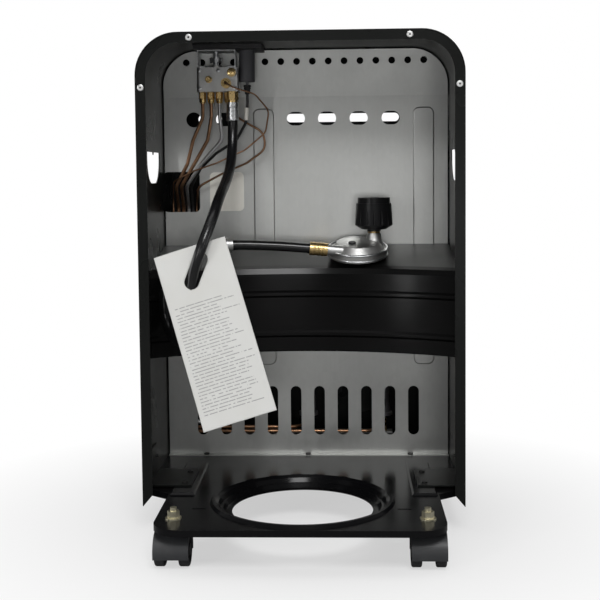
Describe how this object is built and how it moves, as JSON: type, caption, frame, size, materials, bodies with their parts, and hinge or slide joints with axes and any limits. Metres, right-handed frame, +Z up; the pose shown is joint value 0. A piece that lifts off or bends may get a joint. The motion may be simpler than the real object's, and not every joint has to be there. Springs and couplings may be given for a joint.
{
  "type": "portable gas cabinet heater",
  "caption": "Upright steel cabinet heater with radiant gas burners in front, an open rear bay for a gas cylinder with hose and regulator, controls on top and swivel casters.",
  "frame": {"origin": "on the floor, under the middle of the heater's footprint", "axes": "+Z up, -Y towards the burner side, +Y towards the open rear"},
  "size_m": [0.4228, 0.456, 0.6692],
  "materials": {
    "black_paint": "satin powder coat",
    "black_gloss": "gloss paint",
    "bright_rivet": "bright",
    "dark_screw": "black oxide",
    "zinc_sheet": "galvanised",
    "bare_plate": "bare",
    "guard_chrome": "plated wire",
    "bright_steel": "bright",
    "burner_steel": "heat-proof enamel",
    "burner_ceramic": "matt",
    "brass": "turned",
    "cast_aluminium": "die cast",
    "aluminium_tube": "drawn",
    "copper_tube": "drawn copper",
    "zinc_part": "zinc plated",
    "nut_zinc": "yellow passivated zinc",
    "black_plastic": "moulded",
    "igniter_plastic": "moulded",
    "button_plastic": "moulded red",
    "wheel_plastic": "moulded",
    "lead_rubber": "silicone",
    "white_ceramic": "glazed",
    "hose_rubber": "smooth",
    "tag_paper": "matt",
    "caster_plastic": "moulded",
    "caster_wheel": "moulded"
  },
  "bodies": {
    "cabinet": {"access_plate": "bare_plate", "base_brackets": "black_paint", "base_plate": "black_gloss", "burner_centre": "burner_steel", "burner_frame": "bright_steel", "burner_left": "burner_steel", "burner_pipe_centre": "copper_tube", "burner_pipe_left": "aluminium_tube", "burner_pipe_right": "copper_tube", "burner_right": "burner_steel", "cabinet_screws": "dark_screw", "caster_nuts": "nut_zinc", "caster_stems": "nut_zinc", "corner_plates": "black_paint", "corner_rivets": "bright_rivet", "cylinder_band": "black_gloss", "front_panel": "black_paint", "gas_jets": "brass", "heat_shield": "zinc_sheet", "hose": "hose_rubber", "hose_clip": "zinc_part", "hose_sleeve": "cast_aluminium", "igniter_body": "igniter_plastic", "ignition_lead": "lead_rubber", "inlet_ferrule": "zinc_part", "inlet_fitting": "brass", "jet_bar": "zinc_sheet", "knob_bezel": "black_plastic", "outlet_unions": "brass", "paper_tag": "tag_paper", "pilot_bracket": "bright_steel", "pilot_burner": "bright_steel", "pilot_pipe": "copper_tube", "plaque_centre": "burner_ceramic", "plaque_left": "burner_ceramic", "plaque_right": "burner_ceramic", "regulator": "cast_aluminium", "regulator_ferrule": "brass", "safety_magnet": "brass", "shell": "black_paint", "spark_electrode": "white_ceramic", "thermocouple_lead": "copper_tube", "thermocouple_tip": "bright_steel", "tilt_switch": "igniter_plastic", "valve_body": "cast_aluminium", "valve_bracket": "zinc_part", "wire_guard": "guard_chrome"},
    "stem_press": {"stem_collar": "zinc_part"},
    "knob": {"control_knob": "black_plastic", "valve_stem": "zinc_part"},
    "igniter_push": {"igniter_button": "button_plastic"},
    "handwheel": {"regulator_handwheel": "wheel_plastic"},
    "swivel_front_right": {"caster_hood_front_right": "caster_plastic"},
    "wheels_front_right": {"caster_wheels_front_right": "caster_wheel"},
    "swivel_rear_right": {"caster_hood_rear_right": "caster_plastic"},
    "wheels_rear_right": {"caster_wheels_rear_right": "caster_wheel"},
    "swivel_front_left": {"caster_hood_front_left": "caster_plastic"},
    "wheels_front_left": {"caster_wheels_front_left": "caster_wheel"},
    "swivel_rear_left": {"caster_hood_rear_left": "caster_plastic"},
    "wheels_rear_left": {"caster_wheels_rear_left": "caster_wheel"}
  },
  "joints": [
    {"name": "knob_press", "type": "slide", "parent": "cabinet", "child": "stem_press", "axis": [0, 0, 1], "range_m": [-0.004, 0], "stiffness_N_per_m": 600},
    {"name": "knob_turn", "type": "hinge", "parent": "stem_press", "child": "knob", "pos_m": [0.124, -0.085, 0.66], "axis": [0, 0, -1], "range_deg": [0, 240]},
    {"name": "igniter_press", "type": "slide", "parent": "cabinet", "child": "igniter_push", "axis": [0, 0, 1], "range_m": [-0.006, 0], "stiffness_N_per_m": 900},
    {"name": "handwheel_turn", "type": "hinge", "parent": "cabinet", "child": "handwheel", "pos_m": [-0.098, -0.088, 0.41], "axis": [0, 0, 1], "continuous": true},
    {"name": "swivel_front_right", "type": "hinge", "parent": "cabinet", "child": "swivel_front_right", "pos_m": [-0.154, -0.186, 0.04], "axis": [0, 0, 1], "continuous": true},
    {"name": "roll_front_right", "type": "hinge", "parent": "swivel_front_right", "child": "wheels_front_right", "pos_m": [-0.154, -0.178, 0.02], "axis": [1, 0, 0], "continuous": true},
    {"name": "swivel_rear_right", "type": "hinge", "parent": "cabinet", "child": "swivel_rear_right", "pos_m": [-0.154, 0.181, 0.04], "axis": [0, 0, 1], "continuous": true},
    {"name": "roll_rear_right", "type": "hinge", "parent": "swivel_rear_right", "child": "wheels_rear_right", "pos_m": [-0.154, 0.189, 0.02], "axis": [1, 0, 0], "continuous": true},
    {"name": "swivel_front_left", "type": "hinge", "parent": "cabinet", "child": "swivel_front_left", "pos_m": [0.154, -0.186, 0.04], "axis": [0, 0, 1], "continuous": true},
    {"name": "roll_front_left", "type": "hinge", "parent": "swivel_front_left", "child": "wheels_front_left", "pos_m": [0.154, -0.178, 0.02], "axis": [1, 0, 0], "continuous": true},
    {"name": "swivel_rear_left", "type": "hinge", "parent": "cabinet", "child": "swivel_rear_left", "pos_m": [0.154, 0.181, 0.04], "axis": [0, 0, 1], "continuous": true},
    {"name": "roll_rear_left", "type": "hinge", "parent": "swivel_rear_left", "child": "wheels_rear_left", "pos_m": [0.154, 0.189, 0.02], "axis": [1, 0, 0], "continuous": true}
  ]
}
